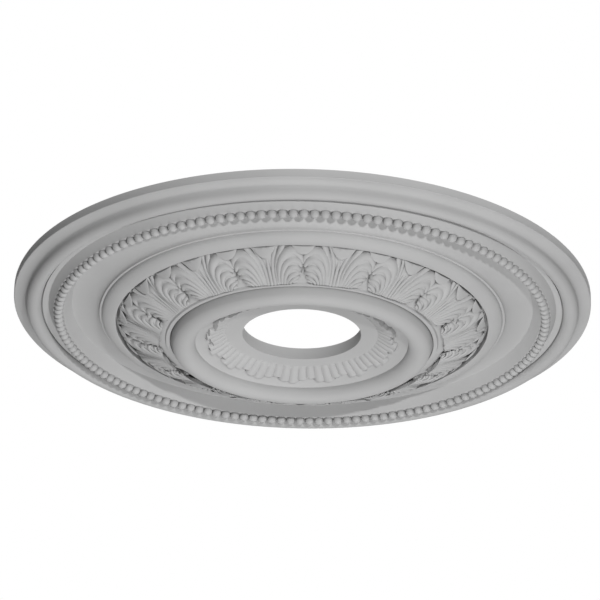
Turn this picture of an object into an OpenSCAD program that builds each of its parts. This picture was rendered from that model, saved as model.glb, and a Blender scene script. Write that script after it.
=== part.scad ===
// A round ceiling rose, moulded in one piece, with a bored centre for a lamp.
// The back lies on the ceiling plane z = 0 and the face hangs down below it.
// Levels are measured down from the ceiling; radii run out from the centre.

/* [Overall] */
// Outer diameter of the rose
overall_d = 750; // [720:5:1000]
// How far the lowest moulding hangs below the ceiling
drop = 76.5; // [70:0.5:110]

/* [Centre plate and bore] */
// Diameter of the bore for the lamp's rod, wires or canopy
bore_d = 154; // [120:1:190]
// Width of the flat plate around the bore
plate_w = 24; // [16:1:40]
// Thickness of the plate that the bore goes through
plate_t = 16; // [10:0.5:24]
// How much higher the flat plate sits than the centre moulding's base
plate_recess = 13.5; // [6:0.5:18]

/* [Crown moulding around the centre] */
// Width of the sloping ring that carries the small leaves
small_band_w = 37; // [28:1:50]
// Diameter of the half-round crown moulding
crown_d = 31; // [20:1:36]
// Width of the flat fillet outside the crown moulding
crown_fillet_w = 11.5; // [6:0.5:20]
// Thickness of material left between the recess and the crown's base
crown_back_t = 17; // [10:0.5:24]

/* [Leaf band] */
// Number of large leaves
leaf_count = 15; // [8:1:20]
// Width of the sloping band that carries the large leaves
leaf_band_w = 61.5; // [45:0.5:80]
// Step from the crown fillet back to the leaf band
leaf_step = 2; // [1:0.5:4]
// Height of the side lobes of a large leaf
lobe_rise = 11; // [6:0.5:13]
// Height of the fluted stem of a large leaf
stem_rise = 7; // [3:0.5:12]
// Height of the turned-over tip of a large leaf
tip_rise = 7; // [3:0.5:12]
// Number of small leaves around the plate
small_leaf_count = 16; // [10:1:24]
// Height of a small leaf
small_leaf_rise = 5; // [2:0.5:8]

/* [Ovolo and cove] */
// Width of the ovolo outside the leaf band
ovolo_w = 18.5; // [12:0.5:26]
// Height of the ovolo
ovolo_rise = 10; // [6:0.5:14]
// Depth of the wall from the ovolo's edge back to the leaf band
ovolo_lip = 6; // [3:0.5:10]
// Width of the fillet between ovolo and cove
cove_fillet_w = 3; // [2:0.5:8]
// Level of the cove at its deep outer edge
cove_level = 14; // [12:0.5:20]
// Height that the cove sweeps through
cove_rise = 13; // [8:0.5:18]

/* [Bead ring] */
// Diameter of one bead
bead_d = 12.2; // [9:0.1:12.6]
// Number of beads in the ring
bead_count = 152; // [60:1:158]
// Width of the flat seat that the beads stand on
bead_seat_w = 13.4; // [13.4:0.2:20]
// Level of the bead seat
bead_seat_level = 29; // [24:0.5:34]
// How far a bead's middle stands below its seat
bead_stand = 1.6; // [0.5:0.1:3]
// Width of the slope from the bead seat in to the cove
bead_in_w = 9.8; // [6:0.2:16]
// Width of the slope from the bead seat out to the rim strip
bead_out_w = 6.8; // [4:0.2:14]

/* [Rim] */
// Width of the flat strip outside the bead ring
strip_w = 9.4; // [4:0.2:16]
// Level of the strip at the bead ring
strip_level = 17.2; // [15:0.1:22]
// How much the strip falls from the rim roll to the bead ring
strip_fall = 2.4; // [0:0.1:4]
// Radius of the rim roll
roll_r = 9.8; // [6:0.1:12]
// Level of the rim roll's centre
roll_level = 18; // [14:0.5:22]
// Width of the flat lip along the rim's edge
lip_w = 2.5; // [1:0.5:6]
// Thickness of the rim at its edge
rim_t = 11; // [8:0.5:16]
// Chamfer on the rim's outer edge
rim_chamfer = 1; // [0.5:0.5:2]
// Level of the rim's cove where it meets the roll
rim_cove_level = 19.5; // [14:0.5:22]
// Width of the rim's cove
rim_cove_w = 14; // [8:0.5:22]

/* [Back] */
// Width of the flat back flange that bears on the ceiling
flange_w = 90; // [60:1:140]
// Run of the recess wall from the flange to its deepest part
recess_run = 120; // [80:1:160]

/* [Hidden] */
round_fn = 180;
roll_fn = 48;
crown_fn = 72;
bead_fn = 20;
arc_steps = 10;
bore_over = 1;

// Radii, from the bore outwards
bore_r = bore_d / 2;
plate_r = bore_r + plate_w;
crown_in_r = plate_r + small_band_w;
crown_r = crown_in_r + crown_d / 2;
crown_out_r = crown_in_r + crown_d;
leaf_in_r = crown_out_r + crown_fillet_w;
leaf_out_r = leaf_in_r + leaf_band_w;
ovolo_out_r = leaf_out_r + ovolo_w;
cove_in_r = ovolo_out_r + cove_fillet_w;

// Radii, from the outer edge inwards
rim_r = overall_d / 2;
rim_cove_out_r = rim_r - lip_w;
roll_out_r = rim_cove_out_r - rim_cove_w;
roll_centre_r = roll_out_r - roll_half(rim_cove_level);
strip_out_r = roll_centre_r - roll_half(strip_level + strip_fall);
strip_in_r = strip_out_r - strip_w;
seat_out_r = strip_in_r - bead_out_w;
bead_r = seat_out_r - bead_seat_w / 2;
seat_in_r = seat_out_r - bead_seat_w;
cove_out_r = seat_in_r - bead_in_w;

// Levels below the ceiling
crown_level = drop - crown_d / 2;
plate_level = crown_level - plate_recess;
plate_back = plate_level - plate_t;
recess_level = crown_level - crown_back_t;
leaf_in_level = crown_level - leaf_step;
cove_top = cove_level + cove_rise;
ovolo_top = cove_top + ovolo_rise;
leaf_out_level = ovolo_top - ovolo_lip;

// Back recess
flange_in_r = rim_r - flange_w;
recess_r = flange_in_r - recess_run;
plate_back_r = crown_in_r;

// Leaf grids: columns run around the leaf, rows run out along it
leaf_cols = 12;
leaf_rows = 6;
small_cols = 12;
small_rows = 2;
leaf_angle = 360 / leaf_count;
small_leaf_angle = 360 / small_leaf_count;
leaf_fill = 0.96;
leaf_edge = 2.5;
leaf_overlap = 2;
leaf_root = 6;

// Shape of a large leaf, in shares of its half width and of its length
stem_half = 0.26;
stem_flare = 0.3;
stem_flutes = 3;
flute_share = 0.25;
lobe_centre = 0.6;
lobe_half = 0.4;
lobe_lean = 0.25;
lobe_mid = 0.42;
lobe_reach = 0.52;
rib_share = 0.18;
ribs_across = 2.2;
ribs_along = 1.1;
tip_mid = 0.78;
tip_reach = 0.24;
tip_half = 0.1;
tip_flare = 0.45;
side_tip_mid = 0.84;
side_tip_reach = 0.2;
side_tip_share = 0.7;

// Shape of a small leaf: a low and a high crest lobe side by side, in shares of the band's width
small_foot = 1.2;
small_turn = 2;
crest_low = 0.47;
crest_low_rise = 0.1;
crest_high = 0.5;
crest_high_rise = 0.24;
small_flutes = 2;
small_flute_share = 0.3;

// Half width of the rim roll at a level
function roll_half(level) = sqrt(roll_r ^ 2 - (level - roll_level) ^ 2);

// A smooth hump, 1 at x = 0 and 0 beyond x = -1 and 1
function hump(x) = abs(x) < 1 ? (1 + cos(180 * x)) / 2 : 0;

// A point from its radius, angle and level
function polar(r, angle, level) = [r * cos(angle), r * sin(angle), level];

// Angle of a leaf's column from its middle line
function column_angle(i, cols, angle) = leaf_fill * angle * (i / cols - 1 / 2);

// Points along a quarter ellipse from a to b; hollow arcs start flat, full arcs start steep
function hollow_arc(a, b) = [for (i = [0 : arc_steps]) let (q = 90 * i / arc_steps)
    [a.x + (b.x - a.x) * sin(q), a.y + (b.y - a.y) * (1 - cos(q))]];
function full_arc(a, b) = [for (i = [0 : arc_steps]) let (q = 90 * i / arc_steps)
    [a.x + (b.x - a.x) * (1 - cos(q)), a.y + (b.y - a.y) * sin(q)]];

// Levels of the two sloping bands at a radius
function leaf_field(r) =
    leaf_in_level + (leaf_out_level - leaf_in_level) * (r - leaf_in_r) / leaf_band_w;
function small_field(r) =
    plate_level + (crown_level - plate_level) * (r - plate_r) / small_band_w;

// Rise of a large leaf: a runs from -1 to 1 across it, t from 0 at its root to 1 at its tip
function leaf_rise(a, t) =
    let (
        side = abs(a),
        flutes = 1 - flute_share + flute_share * cos(360 * stem_flutes * a),
        stem = stem_rise * (1 - t ^ 3) * hump(a / (stem_half + stem_flare * t)) * flutes,
        across = hump((side - lobe_centre + lobe_lean * (1 - t) ^ 2) / lobe_half),
        along = hump((t - lobe_mid) / lobe_reach),
        ribs = 1 - rib_share + rib_share * cos(360 * (ribs_across * side - ribs_along * t)),
        tip = hump((t - tip_mid) / tip_reach) * hump(a / (tip_half + tip_flare * t)),
        side_tip = hump((t - side_tip_mid) / side_tip_reach) * hump((side - 1) / tip_flare)
    )
    max(stem, lobe_rise * sqrt(across * along) * ribs, tip_rise * max(tip, side_tip_share * side_tip));

// Where a small leaf's crest stands, in shares of the band's width: a runs from -1 to 1 across it
function crest(a) = a > 0 ? crest_high + crest_high_rise * hump((a - 0.5) / 0.55)
    : crest_low + crest_low_rise * hump((a + 0.5) / 0.55);

// Rise of a small leaf's flutes
function small_rise(a) =
    small_leaf_rise * (1 - small_flute_share + small_flute_share * cos(360 * small_flutes * a));

// A leaf as a closed solid: a grid of points on its face, over roots sunk in the moulding
module leaf_solid(cols, rows, angle, radii, levels, root_levels) {
    across = cols + 1;
    face_points = [for (j = [0 : rows], i = [0 : cols])
        polar(radii[j][i], column_angle(i, cols, angle), levels[j][i])];
    root_points = [for (j = [0, 1], i = [0 : cols])
        polar(radii[j * rows][i], column_angle(i, cols, angle), root_levels[j])];
    n = len(face_points);
    face = [for (j = [0 : rows - 1], i = [0 : cols - 1], half = [0, 1])
        let (k = j * across + i)
        half == 0 ? [k, k + 1, k + across + 1] : [k, k + across + 1, k + across]];
    inner = [for (i = [0 : cols - 1], half = [0, 1])
        half == 0 ? [i + 1, i, n + i] : [i + 1, n + i, n + i + 1]];
    outer = [for (i = [0 : cols - 1], half = [0, 1])
        let (k = rows * across + i, m = n + across + i)
        half == 0 ? [k, k + 1, m + 1] : [k, m + 1, m]];
    left = concat(
        [for (j = [0 : rows - 1]) [j * across, (j + 1) * across, n + across]],
        [[0, n + across, n]]);
    right = concat(
        [for (j = [0 : rows - 1]) [(j + 1) * across + cols, j * across + cols, n + across + cols]],
        [[cols, n + cols, n + across + cols]]);
    root = [for (i = [0 : cols - 1], half = [0, 1])
        let (k = n + i, m = n + across + i)
        half == 0 ? [k + 1, k, m] : [k + 1, m, m + 1]];
    polyhedron(
        points = concat(face_points, root_points),
        faces = concat(face, inner, outer, left, right, root));
}

module large_leaf() {
    radii = [for (j = [0 : leaf_rows]) [for (i = [0 : leaf_cols])
        leaf_in_r - leaf_overlap + (leaf_band_w + 2 * leaf_overlap) * j / leaf_rows]];
    levels = [for (j = [0 : leaf_rows]) [for (i = [0 : leaf_cols])
        leaf_field(radii[j][i]) + leaf_edge + leaf_rise(2 * i / leaf_cols - 1, j / leaf_rows)]];
    leaf_solid(leaf_cols, leaf_rows, leaf_angle, radii, levels,
        [leaf_in_level - leaf_root, leaf_out_level - leaf_root]);
}

module small_leaf() {
    radii = [for (j = [0 : small_rows]) [for (i = [0 : small_cols])
        plate_r - small_foot
            + (small_foot + small_band_w * crest(2 * i / small_cols - 1)) * j / small_rows]];
    levels = [for (j = [0 : small_rows]) [for (i = [0 : small_cols])
        small_field(radii[j][i]) + small_rise(2 * i / small_cols - 1)]];
    leaf_solid(small_cols, small_rows, small_leaf_angle, radii, levels,
        [plate_level - leaf_root, plate_level]);
}

// The turned profile of the plate, its mouldings and its hollow back
module profile() {
    polygon(concat(
        [
            [rim_r, 0],
            [rim_r, rim_t - rim_chamfer],
            [rim_r - rim_chamfer, rim_t]
        ],
        hollow_arc([rim_cove_out_r, rim_t], [roll_out_r, rim_cove_level]),
        [
            [roll_centre_r, roll_level],
            [strip_out_r, strip_level + strip_fall],
            [strip_in_r, strip_level],
            [seat_out_r, bead_seat_level],
            [seat_in_r, bead_seat_level]
        ],
        hollow_arc([cove_out_r, cove_level], [cove_in_r, cove_top]),
        full_arc([ovolo_out_r, cove_top], [leaf_out_r, ovolo_top]),
        [
            [leaf_out_r, leaf_out_level],
            [leaf_in_r, leaf_in_level],
            [leaf_in_r, crown_level],
            [crown_in_r, crown_level],
            [plate_r, plate_level],
            [bore_r - bore_over, plate_level],
            [bore_r - bore_over, plate_back],
            [plate_back_r, plate_back],
            [plate_back_r, recess_level],
            [recess_r, recess_level],
            [flange_in_r, 0]
        ]));
}

module turned_body() {
    difference() {
        union() {
            rotate_extrude($fn = round_fn) profile();
            rotate_extrude($fn = round_fn)
                translate([roll_centre_r, roll_level])
                    circle(r = roll_r, $fn = roll_fn);
            rotate_extrude($fn = round_fn)
                translate([crown_r, crown_level])
                    circle(d = crown_d, $fn = crown_fn);
        }
        translate([0, 0, plate_back - bore_over])
            cylinder(r = bore_r, h = plate_t + 2 * bore_over, $fn = round_fn);
    }
}

module bead_ring() {
    for (i = [0 : bead_count - 1])
        rotate(360 * i / bead_count)
            translate([bead_r, 0, bead_seat_level + bead_stand])
                sphere(d = bead_d, $fn = bead_fn);
}

module leaf_bands() {
    for (i = [0 : leaf_count - 1])
        rotate(leaf_angle * i + 90) large_leaf();
    for (i = [0 : small_leaf_count - 1])
        rotate(small_leaf_angle * i + 90 + small_turn) small_leaf();
}

module ceiling_rose() {
    color("gainsboro")
        mirror([0, 0, 1]) {
            turned_body();
            bead_ring();
            leaf_bands();
        }
}

ceiling_rose();
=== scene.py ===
import math

import bpy
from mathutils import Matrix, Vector


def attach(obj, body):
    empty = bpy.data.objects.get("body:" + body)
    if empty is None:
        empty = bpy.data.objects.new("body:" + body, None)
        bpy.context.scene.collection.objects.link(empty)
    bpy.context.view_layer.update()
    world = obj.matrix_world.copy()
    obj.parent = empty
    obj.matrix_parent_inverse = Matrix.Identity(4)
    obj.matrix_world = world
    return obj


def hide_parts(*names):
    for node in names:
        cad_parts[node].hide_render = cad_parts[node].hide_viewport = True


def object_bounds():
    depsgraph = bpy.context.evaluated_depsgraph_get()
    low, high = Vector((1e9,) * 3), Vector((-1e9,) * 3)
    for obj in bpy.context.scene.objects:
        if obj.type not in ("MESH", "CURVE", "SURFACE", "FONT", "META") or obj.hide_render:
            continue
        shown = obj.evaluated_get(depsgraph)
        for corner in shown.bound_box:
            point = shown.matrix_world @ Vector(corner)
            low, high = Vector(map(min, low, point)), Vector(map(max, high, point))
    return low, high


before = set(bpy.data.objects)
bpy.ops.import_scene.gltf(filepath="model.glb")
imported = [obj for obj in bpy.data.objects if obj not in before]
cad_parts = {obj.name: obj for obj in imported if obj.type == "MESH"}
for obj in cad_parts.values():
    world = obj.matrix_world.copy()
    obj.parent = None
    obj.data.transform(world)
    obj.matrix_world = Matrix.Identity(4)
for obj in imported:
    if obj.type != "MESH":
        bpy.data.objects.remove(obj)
cad_low, cad_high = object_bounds()

# ---------------------------------------------------------------------------
# Turned body. On the real rose this is the plain run-round moulding of one
# polyurethane casting: rim, bead seat, cove, ovolo, crown and centre plate,
# swept in the mould's master and sprayed with a matt primer.
# ---------------------------------------------------------------------------
MM = 0.001

# radii, from the rim inward, and then those of the back
RIM_R = cad_high.x
RIM_COVE_OUT = 372.5 * MM
ROLL_R = 348.8 * MM
ROLL_FOOT = 339 * MM
STRIP_IN = 329.7 * MM
SEAT_OUT = 322.9 * MM
SEAT_IN = 309.5 * MM
COVE_OUT = 299.7 * MM
COVE_IN = 263.5 * MM
OVOLO_OUT = 260.5 * MM
LEAF_OUT = 242 * MM
LEAF_IN = 180.5 * MM
BED_IN = LEAF_IN + 1 * MM
LEAF_FOOT = 177.2 * MM
CROWN_FOOT = 171 * MM
CROWN_R = 153.5 * MM
PLATE_R = 101 * MM
BORE_R = 77 * MM
CROWN_IN = 138 * MM
RECESS_R = 165 * MM
FLANGE_IN = 285 * MM

# levels, measured down from the ceiling
RIM_T = 11 * MM
RIM_COVE_LEVEL = 19.5 * MM
ROLL_LEVEL = 18 * MM
ROLL_END_LEVEL = 19.6 * MM
STRIP_OUT_LEVEL = 19.3 * MM
STRIP_IN_LEVEL = 17.2 * MM
SEAT_LEVEL = 29 * MM
COVE_LEVEL = 14 * MM
COVE_TOP = 27 * MM
OVOLO_TOP = 38 * MM
LEAF_OUT_LEVEL = 31 * MM
LEAF_IN_LEVEL = 59 * MM
BED_OUT_LEVEL = LEAF_OUT_LEVEL + 1 * MM
BED_IN_LEVEL = LEAF_IN_LEVEL - 1.4 * MM
FILLET_LEVEL = 60.6 * MM
CROWN_LEVEL = 61 * MM
PLATE_LEVEL = 47.5 * MM
PLATE_BACK = 31.5 * MM
RECESS_LEVEL = 44 * MM

# the two rounds; the crown's hangs to the CAD body's lowest point and starts this many degrees down
ROLL_RAD = 9.8 * MM
CROWN_RAD = -cad_low.z - CROWN_LEVEL
FLANK_TURN = 32

# quirks, the narrow grooves beside the roll, under the ovolo's lip and around the crown
ROLL_QUIRK, ROLL_QUIRK_LEVEL = 1.4 * MM, 17 * MM
LIP_QUIRK, LIP_QUIRK_LEVEL = 2.4 * MM, 28 * MM
CROWN_QUIRK, CROWN_QUIRK_DEEP = 1.2 * MM, 3 * MM

CHAMFER = 0.8 * MM
FILLET_SLOPE = 1.2 * MM
# a corner is eased by this much, or by this share of its shorter side, unless it is flatter than 150 degrees
ARRIS, ARRIS_SHARE, FLAT_CORNER = 0.5 * MM, 0.45, 150
TURNING_STEPS = 360
# edges that turn more than this many degrees stay crisp
BODY_CRISP = 28


def deselect():
    if bpy.context.object and bpy.context.object.mode != "OBJECT":
        bpy.ops.object.mode_set(mode="OBJECT")
    bpy.ops.object.select_all(action="DESELECT")


def named(piece, name):
    piece.name = name
    piece.data.name = name
    return piece


def hollow(start, end, steps=12):
    """Quarter ellipse that leaves start level and arrives at end steep."""
    (r0, l0), (r1, l1) = start, end
    turns = [math.pi / 2 * i / steps for i in range(steps + 1)]
    return [(r0 + (r1 - r0) * math.sin(q), l0 + (l1 - l0) * (1 - math.cos(q))) for q in turns]


def full(start, end, steps=12):
    """Quarter ellipse that leaves start steep and arrives at end level."""
    (r0, l0), (r1, l1) = start, end
    turns = [math.pi / 2 * i / steps for i in range(steps + 1)]
    return [(r0 + (r1 - r0) * (1 - math.cos(q)), l0 + (l1 - l0) * math.sin(q)) for q in turns]


def half_round(centre_r, level, radius, start, end, steps):
    """Arc from start to end, in degrees from straight outward and turning down."""
    turns = [math.radians(start + (end - start) * i / steps) for i in range(steps + 1)]
    return [(centre_r + radius * math.cos(q), level + radius * math.sin(q)) for q in turns]


def eased(points, ease):
    """The closed outline with each sharp corner eased by a small three-point round."""
    out = []
    for i, here in enumerate(points):
        before, corner, after = Vector(points[i - 1]), Vector(here), Vector(points[(i + 1) % len(points)])
        back, on = before - corner, after - corner
        if back.angle(on) > math.radians(FLAT_CORNER):
            out.append(tuple(corner))
            continue
        cut = min(ease, back.length * ARRIS_SHARE, on.length * ARRIS_SHARE)
        first, last = corner + back.normalized() * cut, corner + on.normalized() * cut
        out += [tuple(first), tuple((first + last) / 4 + corner / 2), tuple(last)]
    return out


# the section, from the rim's top edge across the face to the bore and home along the back
roll_start = math.degrees(math.asin((RIM_COVE_LEVEL - ROLL_LEVEL) / ROLL_RAD))
roll_end = 180 - math.degrees(math.asin((ROLL_END_LEVEL - ROLL_LEVEL) / ROLL_RAD))
rim_roll = half_round(ROLL_R, ROLL_LEVEL, ROLL_RAD, roll_start, roll_end, steps=20)
rim_edge = [(RIM_R, 0), (RIM_R, RIM_T - CHAMFER), (RIM_R - CHAMFER, RIM_T)]
rim = rim_edge + hollow((RIM_COVE_OUT, RIM_T), rim_roll[0]) + rim_roll[1:]
roll_quirk = [(ROLL_FOOT, ROLL_QUIRK_LEVEL), (ROLL_FOOT - ROLL_QUIRK, ROLL_QUIRK_LEVEL)]
strip = [(ROLL_FOOT - ROLL_QUIRK, STRIP_OUT_LEVEL), (STRIP_IN, STRIP_IN_LEVEL)]
bead_seat = [(SEAT_OUT, SEAT_LEVEL), (SEAT_IN, SEAT_LEVEL)]
cove = hollow((COVE_OUT, COVE_LEVEL), (COVE_IN, COVE_TOP), steps=18)
ovolo = full((OVOLO_OUT, COVE_TOP), (LEAF_OUT, OVOLO_TOP), steps=14)
lip_quirk = [(LEAF_OUT, LIP_QUIRK_LEVEL), (LEAF_OUT - LIP_QUIRK, LIP_QUIRK_LEVEL)]
leaf_bed = [(LEAF_OUT - LIP_QUIRK, BED_OUT_LEVEL), (BED_IN, BED_IN_LEVEL), (LEAF_FOOT, BED_IN_LEVEL)]
crown_fillet = [(LEAF_FOOT - FILLET_SLOPE, FILLET_LEVEL), (CROWN_FOOT, FILLET_LEVEL)]
crown_quirk = [
    (CROWN_FOOT, FILLET_LEVEL - CROWN_QUIRK_DEEP),
    (CROWN_FOOT - CROWN_QUIRK, FILLET_LEVEL - CROWN_QUIRK_DEEP),
    (CROWN_FOOT - CROWN_QUIRK, CROWN_LEVEL),
]
crown = half_round(CROWN_R, CROWN_LEVEL, CROWN_RAD, FLANK_TURN, 180, steps=28)
plate = [(PLATE_R, PLATE_LEVEL), (BORE_R, PLATE_LEVEL), (BORE_R, PLATE_BACK)]
back_recess = [(CROWN_IN, PLATE_BACK), (CROWN_IN, RECESS_LEVEL), (RECESS_R, RECESS_LEVEL), (FLANGE_IN, 0)]
outer_face = rim + roll_quirk + strip + bead_seat + cove + ovolo + lip_quirk + leaf_bed
inner_face = crown_fillet + crown_quirk + crown + plate
outline = eased(outer_face + inner_face + back_recess, ARRIS)

deselect()
bpy.ops.mesh.primitive_circle_add(vertices=len(outline), radius=RIM_R)
body = named(bpy.context.object, "rose_body")
for point, (r, level) in zip(body.data.vertices, outline):
    point.co = (r, 0, -level)
bpy.ops.object.mode_set(mode="EDIT")
bpy.ops.mesh.select_all(action="SELECT")
bpy.ops.mesh.spin(steps=TURNING_STEPS, angle=math.tau, center=(0, 0, 0), axis=(0, 0, 1))
bpy.ops.mesh.select_all(action="SELECT")
bpy.ops.mesh.remove_doubles(threshold=0.01 * MM)
bpy.ops.mesh.normals_make_consistent(inside=False)
bpy.ops.object.mode_set(mode="OBJECT")
bpy.ops.object.shade_smooth_by_angle(angle=math.radians(BODY_CRISP))

PRIMER = (0.50, 0.50, 0.50, 1)
PRIMER_DUSTED = (0.475, 0.475, 0.475, 1)
# painted shade: this dark grey is mixed into the primer's colour wherever an occlusion test finds hollows,
# creases and gaps within this reach
CREVICE_SHADE_TONE = (0.24, 0.24, 0.24, 1)
CREVICE_SHADE_REACH = 7 * MM


def noise(nodes, scale, detail):
    texture = nodes.new("ShaderNodeTexNoise")
    texture.inputs["Scale"].default_value = scale
    texture.inputs["Detail"].default_value = detail
    return texture


def relief(nodes, strength, distance):
    bump = nodes.new("ShaderNodeBump")
    bump.inputs["Strength"].default_value = strength
    bump.inputs["Distance"].default_value = distance
    return bump


def primer_finish(name):
    """Matt sprayed primer: faint cloudy tone, fine orange peel, and painted shade that darkens the colour in
    the hollows and creases.
    """
    finish = bpy.data.materials.new(name)
    finish.use_nodes = True
    nodes, links = finish.node_tree.nodes, finish.node_tree.links
    coat = nodes["Principled BSDF"]
    coat.inputs["Roughness"].default_value = 0.62
    coat.inputs["Specular IOR Level"].default_value = 0.3

    place = nodes.new("ShaderNodeTexCoord")
    cloud = noise(nodes, scale=9, detail=3)
    grain = noise(nodes, scale=160, detail=2)
    peel = noise(nodes, scale=900, detail=2)
    for texture in (cloud, grain, peel):
        links.new(place.outputs["Object"], texture.inputs["Vector"])

    tone = nodes.new("ShaderNodeValToRGB")
    tone.color_ramp.elements[0].position = 0.35
    tone.color_ramp.elements[0].color = PRIMER_DUSTED
    tone.color_ramp.elements[1].position = 0.65
    tone.color_ramp.elements[1].color = PRIMER
    links.new(cloud.outputs["Fac"], tone.inputs["Fac"])

    # painted shade: the occlusion test darkens the base colour in creases, bead gaps and under lips, where
    # shade falls
    crevice = nodes.new("ShaderNodeAmbientOcclusion")
    crevice.samples = 8
    crevice.inputs["Distance"].default_value = CREVICE_SHADE_REACH
    openness = nodes.new("ShaderNodeMapRange")
    openness.inputs["From Min"].default_value = 0.25
    openness.inputs["From Max"].default_value = 0.8
    links.new(crevice.outputs["AO"], openness.inputs["Value"])
    painted_crevice_shade = nodes.new("ShaderNodeMix")
    painted_crevice_shade.data_type = "RGBA"
    painted_crevice_shade.inputs["A"].default_value = CREVICE_SHADE_TONE
    links.new(tone.outputs["Color"], painted_crevice_shade.inputs["B"])
    links.new(openness.outputs["Result"], painted_crevice_shade.inputs["Factor"])
    links.new(painted_crevice_shade.outputs["Result"], coat.inputs["Base Color"])

    broad = relief(nodes, strength=0.15, distance=0.6 * MM)
    fine = relief(nodes, strength=0.12, distance=0.2 * MM)
    links.new(grain.outputs["Fac"], broad.inputs["Height"])
    links.new(peel.outputs["Fac"], fine.inputs["Height"])
    links.new(broad.outputs["Normal"], fine.inputs["Normal"])
    links.new(fine.outputs["Normal"], coat.inputs["Normal"])
    return finish


primer = primer_finish("matt_primer")
body.data.materials.append(primer)
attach(body, "root")
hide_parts("ceiling_rose")

# ---------------------------------------------------------------------------
# Bead ring. A string of half-sunk pearls cast with the body, side by side on
# the raised seat inside the rim, each one all but touching the next.
# ---------------------------------------------------------------------------
BEAD_COUNT = 152
BEAD_RAD = 6.35 * MM
BEAD_LEVEL = 30.6 * MM
BEAD_RING_R = (SEAT_IN + SEAT_OUT) / 2
# how far behind its centre a bead is cut off flat, inside the seat
BEAD_CUT = 3 * MM
BEAD_CRISP = 50


def ring_of(pattern, count, first, name):
    """Copies of pattern turned about the rose's axis, each with its own mesh, joined as one piece."""
    copies = []
    for i in range(count):
        copy = pattern.copy()
        copy.data = pattern.data.copy()
        bpy.context.collection.objects.link(copy)
        copy.rotation_euler.z = math.radians(first + 360 * i / count)
        copies.append(copy)
    deselect()
    for copy in copies:
        copy.select_set(True)
    bpy.context.view_layer.objects.active = copies[0]
    bpy.ops.object.transform_apply(location=True, rotation=True, scale=True)
    bpy.ops.object.join()
    bpy.data.objects.remove(pattern)
    return named(bpy.context.object, name)


deselect()
bpy.ops.mesh.primitive_uv_sphere_add(
    segments=14, ring_count=9, radius=BEAD_RAD, location=(BEAD_RING_R, 0, -BEAD_LEVEL)
)
bpy.ops.object.transform_apply(location=True)
bead = bpy.context.object
bpy.ops.object.mode_set(mode="EDIT")
bpy.ops.mesh.select_all(action="SELECT")
bpy.ops.mesh.bisect(
    plane_co=(0, 0, -BEAD_LEVEL + BEAD_CUT), plane_no=(0, 0, 1), use_fill=True, clear_outer=True
)
bpy.ops.object.mode_set(mode="OBJECT")
bpy.ops.object.shade_smooth_by_angle(angle=math.radians(BEAD_CRISP))
bead.data.materials.append(primer)
beads = ring_of(bead, BEAD_COUNT, 0, "bead_ring")
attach(beads, "root")
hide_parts("ceiling_rose")

# ---------------------------------------------------------------------------
# Large leaves. Fifteen acanthus leaves cast on the sloping band: a fluted
# stem under a folded tip, and on each side ribs that rise like a fountain
# and curl down where two leaves meet under a smaller tip.
# ---------------------------------------------------------------------------
# one leaf is shaped flat, in millimetres: across, along from the crown outward, and height
LEAF_COUNT = 15
LEAF_LONG = 61.5
LEAF_HALF = 44
ROOT_CUT, END_CUT = -2.6, 57.5
LEAF_CRISP = 42

LOBE_AT, LOBE_SIZE = (25, 28.5), (19.2, 25, 9.5)
DOME_SUNK = 1.6
STEM_BACK_AT, STEM_BACK_SIZE = (0, 30, -1), (13, 27, 3.6)
TIP_SIZE, SIDE_TIP_SIZE = (15, 15, 3.4), (14.5, 12.5, 3)
TIP_TAPER = 1.4

# how far a rib stands off its lobe, and its least height: higher towards the leaf's foot
RIB_PROUD = 1.2
RIB_LEAST, FOOT_RISE, FOOT_REACH = 2.2, 3.6, 14

# a lobe's ribs from the longest to the shortest, each a run of (across, along, radius)
LOBE_RIBS = (
    (
        (11.5, 5, 2.6), (12, 18, 3.4), (14.5, 34, 4.2), (20.5, 46, 4.8),
        (29, 51.5, 5), (37, 49, 4.6), (42, 41, 3.6), (43, 32, 2.4),
    ),
    (
        (15, 5, 2.6), (15.8, 16, 3.2), (18.8, 29, 4), (25, 38.5, 4.4),
        (32.5, 41.5, 4.2), (38.5, 38, 3.6), (41.8, 30, 2.4),
    ),
    ((18.5, 5, 2.6), (19.6, 14, 3), (23, 24, 3.6), (29, 31, 3.8), (35, 31.5, 3.4), (39.5, 26.5, 2.2)),
    ((22, 5, 2.6), (24.5, 13.5, 3), (30, 20.5, 3.4), (36.5, 22, 3.2), (41.2, 18, 2.2)),
    ((26, 5.2, 2.6), (29.5, 11, 3), (34.5, 14.2, 3), (39, 11.5, 2.2)),
    ((30.5, 5.8, 2.4), (34, 7.8, 2.4), (37.2, 7, 1.8)),
)
# the stem's ribs, each a run of (across, along, height, radius)
MIDDLE_RIB = ((0, 4, 4.6, 3.2), (0, 18, 2.6, 2.6), (0, 32, 2, 2.4), (0, 47, 0, 2.2))
SIDE_RIBS = (
    ((4.9, 4, 4.6, 3), (4.5, 18, 2.8, 2.5), (5.4, 32, 2.6, 2.6), (9.5, 46, 0.4, 2.6), (15.5, 62, -1.5, 2.8)),
    (
        (9, 4.5, 4.6, 2.8), (8.8, 18, 3.4, 2.8), (10.6, 32, 4, 3),
        (15.5, 46, 2.6, 3.2), (20.5, 55, 0.8, 3.2), (23.5, 62, -1.5, 3),
    ),
)


def lobe_height(x, y):
    """Height of the domed side lobe that the ribs run over."""
    (cx, cy), (rx, ry, rz) = LOBE_AT, LOBE_SIZE
    out = ((abs(x) - cx) / rx) ** 2 + ((y - cy) / ry) ** 2
    return rz * math.sqrt(max(0, 1 - out**2))


def rib_height(x, y, radius):
    """Height of a rib's middle: over its lobe, and thick where the leaf ends above the crown."""
    least = RIB_LEAST + FOOT_RISE * max(0, 1 - y / FOOT_REACH)
    return max(least, lobe_height(x, y) + RIB_PROUD - radius)


def pick(piece):
    deselect()
    piece.select_set(True)
    bpy.context.view_layer.objects.active = piece


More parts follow.
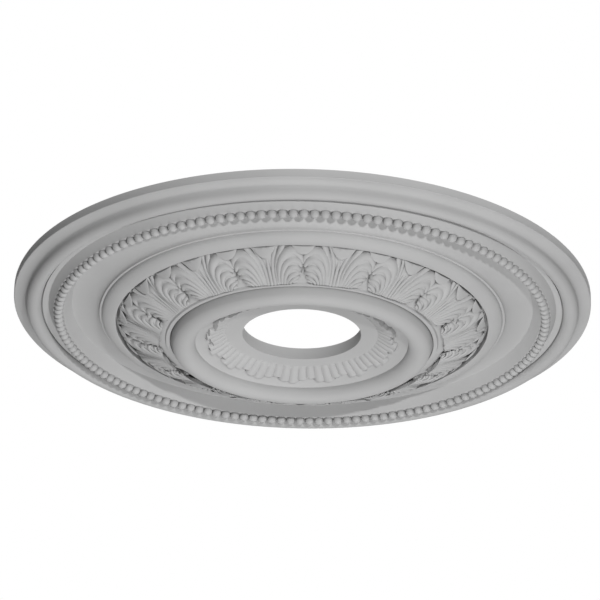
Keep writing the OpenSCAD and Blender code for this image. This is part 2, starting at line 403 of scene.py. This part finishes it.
def rolls(runs, name, around=3, along=4):
    """Round tapering rolls through the runs of points, as one mesh of closed shells."""
    deselect()
    bpy.ops.curve.primitive_nurbs_path_add()
    path = named(bpy.context.object, name)
    path.data.splines.clear()
    path.data.dimensions = "3D"
    path.data.bevel_depth = 1
    path.data.bevel_resolution = around
    path.data.resolution_u = along
    path.data.use_fill_caps = True
    for run in runs:
        spline = path.data.splines.new("NURBS")
        spline.points.add(len(run) - 1)
        for point, (x, y, z, radius) in zip(spline.points, run):
            point.co = (x, y, z, 1)
            point.radius = radius
        spline.order_u = min(4, len(run))
        spline.use_endpoint_u = True
    bpy.ops.object.convert(target="MESH")
    bpy.ops.object.mode_set(mode="EDIT")
    bpy.ops.mesh.select_all(action="SELECT")
    bpy.ops.mesh.remove_doubles(threshold=0.001)
    bpy.ops.mesh.normals_make_consistent(inside=False)
    bpy.ops.object.mode_set(mode="OBJECT")
    return bpy.context.object


def mound(name, at, size, segments=24, rings=12):
    """A smooth ellipsoid lump, the start of a lobe or a tip."""
    deselect()
    bpy.ops.mesh.primitive_uv_sphere_add(segments=segments, ring_count=rings, radius=1)
    lump = named(bpy.context.object, name)
    lump.scale = size
    lump.location = at
    bpy.ops.object.transform_apply(location=True, rotation=True, scale=True)
    return lump


def lobe(name, side):
    """A side lobe's dome, flat on top and steep at its edge."""
    dome = mound(name, (side * LOBE_AT[0], LOBE_AT[1], 0), LOBE_SIZE, segments=32, rings=18)
    for point in dome.data.vertices:
        if point.co.z > 0:
            point.co.z = max(0, lobe_height(point.co.x, point.co.y) - DOME_SUNK)
    return dome


def folded_tip(name, across, size, base, pinch, lift):
    """A leaf tip folded over from the outer wall: pointed by pinch and raised by lift towards its end."""
    tip = mound(name, (across, LEAF_LONG, base), size, segments=20, rings=12)
    for point in tip.data.vertices:
        share = max(0, (LEAF_LONG - point.co.y) / size[1])
        point.co.x = across + (point.co.x - across) * (1 - pinch * share**TIP_TAPER)
        point.co.z += lift * share
    return tip


def one_skin(parts, name):
    """Overlapping closed lumps joined by an exact union into one skin, cut flat underneath and at its end."""
    first, rest = parts[0], parts[1:]
    deselect()
    for part in rest:
        part.select_set(True)
    bpy.context.view_layer.objects.active = rest[0]
    bpy.ops.object.join()
    others = bpy.context.object
    pick(first)
    union = first.modifiers.new("union", "BOOLEAN")
    union.operation = "UNION"
    union.solver = "EXACT"
    union.use_self = True
    union.object = others
    bpy.ops.object.modifier_apply(modifier=union.name)
    bpy.data.objects.remove(others)
    bpy.ops.object.mode_set(mode="EDIT")
    bpy.ops.mesh.select_all(action="SELECT")
    bpy.ops.mesh.bisect(plane_co=(0, 0, ROOT_CUT), plane_no=(0, 0, -1), use_fill=True, clear_outer=True)
    bpy.ops.mesh.select_all(action="SELECT")
    bpy.ops.mesh.bisect(plane_co=(0, END_CUT, 0), plane_no=(0, 1, 0), use_fill=True, clear_outer=True)
    bpy.ops.mesh.select_all(action="SELECT")
    bpy.ops.mesh.remove_doubles(threshold=0.05)
    bpy.ops.mesh.dissolve_degenerate(threshold=0.02)
    bpy.ops.mesh.normals_make_consistent(inside=False)
    bpy.ops.object.mode_set(mode="OBJECT")
    return named(first, name)


def bent_round(piece, half_width, half_angle, inner, slope_from, slope_to, length):
    """Bends a flat leaf in millimetres onto its sloping ring; across becomes turn, height hangs down."""
    for point in piece.data.vertices:
        x, y, z = point.co
        turn = math.radians(half_angle) * x / half_width
        r = inner + y * MM
        level = slope_from + (slope_to - slope_from) * y / length + z * MM
        point.co = (r * math.cos(turn), r * math.sin(turn), -level)
    pick(piece)
    bpy.ops.object.mode_set(mode="EDIT")
    bpy.ops.mesh.select_all(action="SELECT")
    bpy.ops.mesh.normals_make_consistent(inside=False)
    bpy.ops.object.mode_set(mode="OBJECT")
    bpy.ops.object.shade_smooth_by_angle(angle=math.radians(LEAF_CRISP))


leaf_runs = []
for side in (1, -1):
    for rib in LOBE_RIBS:
        leaf_runs.append([(side * x, y, rib_height(x, y, radius), radius) for x, y, radius in rib])
    for rib in SIDE_RIBS:
        leaf_runs.append([(side * x, y, z, radius) for x, y, z, radius in rib])
leaf_runs.append(MIDDLE_RIB)
leaf_parts = [
    mound("stem_back", STEM_BACK_AT, STEM_BACK_SIZE),
    rolls(leaf_runs, "leaf_ribs"),
    lobe("lobe_right", 1),
    lobe("lobe_left", -1),
    folded_tip("folded_tip", 0, TIP_SIZE, base=-1.4, pinch=0.3, lift=11),
    folded_tip("side_tip", LEAF_HALF, SIDE_TIP_SIZE, base=-1.2, pinch=0.1, lift=9),
]
leaf = one_skin(leaf_parts, "leaf")
bent_round(leaf, LEAF_HALF, 180 / LEAF_COUNT, LEAF_IN, LEAF_IN_LEVEL, LEAF_OUT_LEVEL, LEAF_LONG)
leaf.data.materials.append(primer)
leaves = ring_of(leaf, LEAF_COUNT, 90, "large_leaves")
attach(leaves, "root")
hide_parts("ceiling_rose")

# ---------------------------------------------------------------------------
# Small leaves. A collar of fluted leaves cast on the slope around the plate;
# they stand up from the plate's edge and end in a scalloped crest of low and
# high lobes.
# ---------------------------------------------------------------------------
# one leaf of the collar is shaped flat, in millimetres, like a large leaf
COLLAR_COUNT = 16
COLLAR_HALF = 22
COLLAR_LONG = 37
COLLAR_TURN = 2
COLLAR_BACK_AT, COLLAR_BACK_SIZE = (0, 8, -2.6), (30, 13, 4.6)

# each flute as (across, crest): two go to a low lobe and two to a high one
FLUTES = ((-16.5, 18), (-5.5, 20), (5.5, 24.5), (16.5, 23))
FLUTE_RAD, FLUTE_SINK = 9, -3.3
# a flute's start as (along, rise), its course as (share of the crest, rise), and its rounded end
FLUTE_START = (0.3, -4)
FLUTE_COURSE = ((0.25, -1.6), (0.55, 0), (0.85, 0.6))
CREST_RISE, CREST_THINNER = 2.2, 0.6

flutes = []
for across, crest in FLUTES:
    start, rise = FLUTE_START
    flute = [(across, start, FLUTE_SINK + rise, FLUTE_RAD)]
    for share, rise in FLUTE_COURSE:
        flute.append((across, crest * share, FLUTE_SINK + rise, FLUTE_RAD))
    flute.append((across, crest, FLUTE_SINK + CREST_RISE, FLUTE_RAD - CREST_THINNER))
    flutes.append(flute)
collar_parts = [
    mound("collar_back", COLLAR_BACK_AT, COLLAR_BACK_SIZE),
    rolls(flutes, "collar_flutes", around=8, along=3),
]
collar = one_skin(collar_parts, "collar")
bent_round(collar, COLLAR_HALF, 180 / COLLAR_COUNT, PLATE_R, PLATE_LEVEL, CROWN_LEVEL, COLLAR_LONG)
collar.data.materials.append(primer)
collars = ring_of(collar, COLLAR_COUNT, 90 + COLLAR_TURN, "small_leaves")
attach(collars, "root")
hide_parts("ceiling_rose")

# ---------------------------------------------------------------------------
# The studio. A pale floor far below the ceiling, a broad soft light and a
# small hard one under the rose, a far light low on the near side, a faint
# fill from the right and a plain light from above for the back.
# ---------------------------------------------------------------------------
FLOOR_LEVEL = -8.0
FLOOR_TONE = (0.80, 0.80, 0.80, 1)
SUN_AWAY = 3
ROOM_GLOW = 0.05

deselect()
bpy.ops.mesh.primitive_plane_add(size=60, location=(0, 0, FLOOR_LEVEL))
bpy.ops.object.transform_apply(location=True)
floor = named(bpy.context.object, "floor")
floor_paint = bpy.data.materials.new("floor_paint")
floor_paint.use_nodes = True
floor_paint.node_tree.nodes["Principled BSDF"].inputs["Base Color"].default_value = FLOOR_TONE
floor_paint.node_tree.nodes["Principled BSDF"].inputs["Roughness"].default_value = 0.9
floor.data.materials.append(floor_paint)
# the floor neither throws light back up at the face nor keeps any from it
floor.visible_diffuse = False
floor.visible_shadow = False


def lamp(name, kind, power, place):
    light = bpy.data.lights.new(name, kind)
    light.energy = power
    holder = bpy.data.objects.new(name, light)
    bpy.context.collection.objects.link(holder)
    holder.location = place
    return holder


def sun_lamp(name, azimuth, elevation, power, softness):
    """A sun from azimuth degrees to the right of the near side and elevation degrees above level."""
    turn, up = math.radians(azimuth), math.radians(elevation)
    source = Vector((math.sin(turn) * math.cos(up), -math.cos(turn) * math.cos(up), math.sin(up)))
    sun = lamp(name, "SUN", power, source * SUN_AWAY)
    sun.data.angle = math.radians(softness)
    sun.rotation_euler = source.to_track_quat("Z", "Y").to_euler()


def disc_lamp(name, width, power, place):
    """A round panel that shines straight up."""
    disc = lamp(name, "AREA", power, place)
    disc.data.shape = "DISK"
    disc.data.size = width
    disc.rotation_euler = (math.pi, 0, 0)
    disc.visible_camera = False


sun_lamp("right_fill", azimuth=80, elevation=-13, power=0.3, softness=12)
sun_lamp("back_light", azimuth=30, elevation=70, power=1.8, softness=20)
disc_lamp("under_light", width=1.6, power=16, place=(0, -0.35, -2.9))
disc_lamp("key_light", width=0.22, power=11.6, place=(0.14, 0.3, -1.6))
near_lamp = lamp("near_light", "POINT", power=118, place=(0.34, -2.4, -0.83))
near_lamp.data.shadow_soft_size = 0.03
near_lamp.visible_camera = False

# the room is white where it is seen, straight or in a reflection, and gives only a faint glow
world = bpy.data.worlds.new("studio")
bpy.context.scene.world = world
world.use_nodes = True
sky, air = world.node_tree.nodes, world.node_tree.links
glow = sky["Background"]
glow.inputs["Color"].default_value = (1, 1, 1, 1)
glow.inputs["Strength"].default_value = ROOM_GLOW
backdrop = sky.new("ShaderNodeBackground")
backdrop.inputs["Color"].default_value = (1, 1, 1, 1)
backdrop.inputs["Strength"].default_value = 1
rays = sky.new("ShaderNodeLightPath")
seen = rays.outputs["Is Camera Ray"]
for kind in ("Is Glossy Ray", "Is Transmission Ray"):
    either = sky.new("ShaderNodeMath")
    either.operation = "MAXIMUM"
    air.new(seen, either.inputs[0])
    air.new(rays.outputs[kind], either.inputs[1])
    seen = either.outputs["Value"]
choice = sky.new("ShaderNodeMixShader")
air.new(seen, choice.inputs["Fac"])
air.new(glow.outputs["Background"], choice.inputs[1])
air.new(backdrop.outputs["Background"], choice.inputs[2])
air.new(choice.outputs["Shader"], sky["World Output"].inputs["Surface"])

# the camera, below the ceiling and back on the near side, looks up with a long lens
CAMERA_AWAY, CAMERA_LOW, CAMERA_ROLL = 4.83, 25.44, 1.1
VIEW_WIDE = 9.26
LENS_SHIFT = (-0.004, 0.0027)
low = math.radians(CAMERA_LOW)
camera_data = bpy.data.cameras.new("camera")
camera = bpy.data.objects.new("camera", camera_data)
bpy.context.collection.objects.link(camera)
camera.location = (0, -CAMERA_AWAY * math.cos(low), -CAMERA_AWAY * math.sin(low))
look = -camera.location
camera.rotation_euler = look.to_track_quat("-Z", "Y").to_euler()
camera.rotation_euler.rotate_axis("Z", math.radians(CAMERA_ROLL))
camera_data.sensor_fit = "HORIZONTAL"
camera_data.angle = math.radians(VIEW_WIDE)
camera_data.shift_x, camera_data.shift_y = LENS_SHIFT
bpy.context.scene.camera = camera
bpy.context.scene.view_settings.view_transform = "Standard"
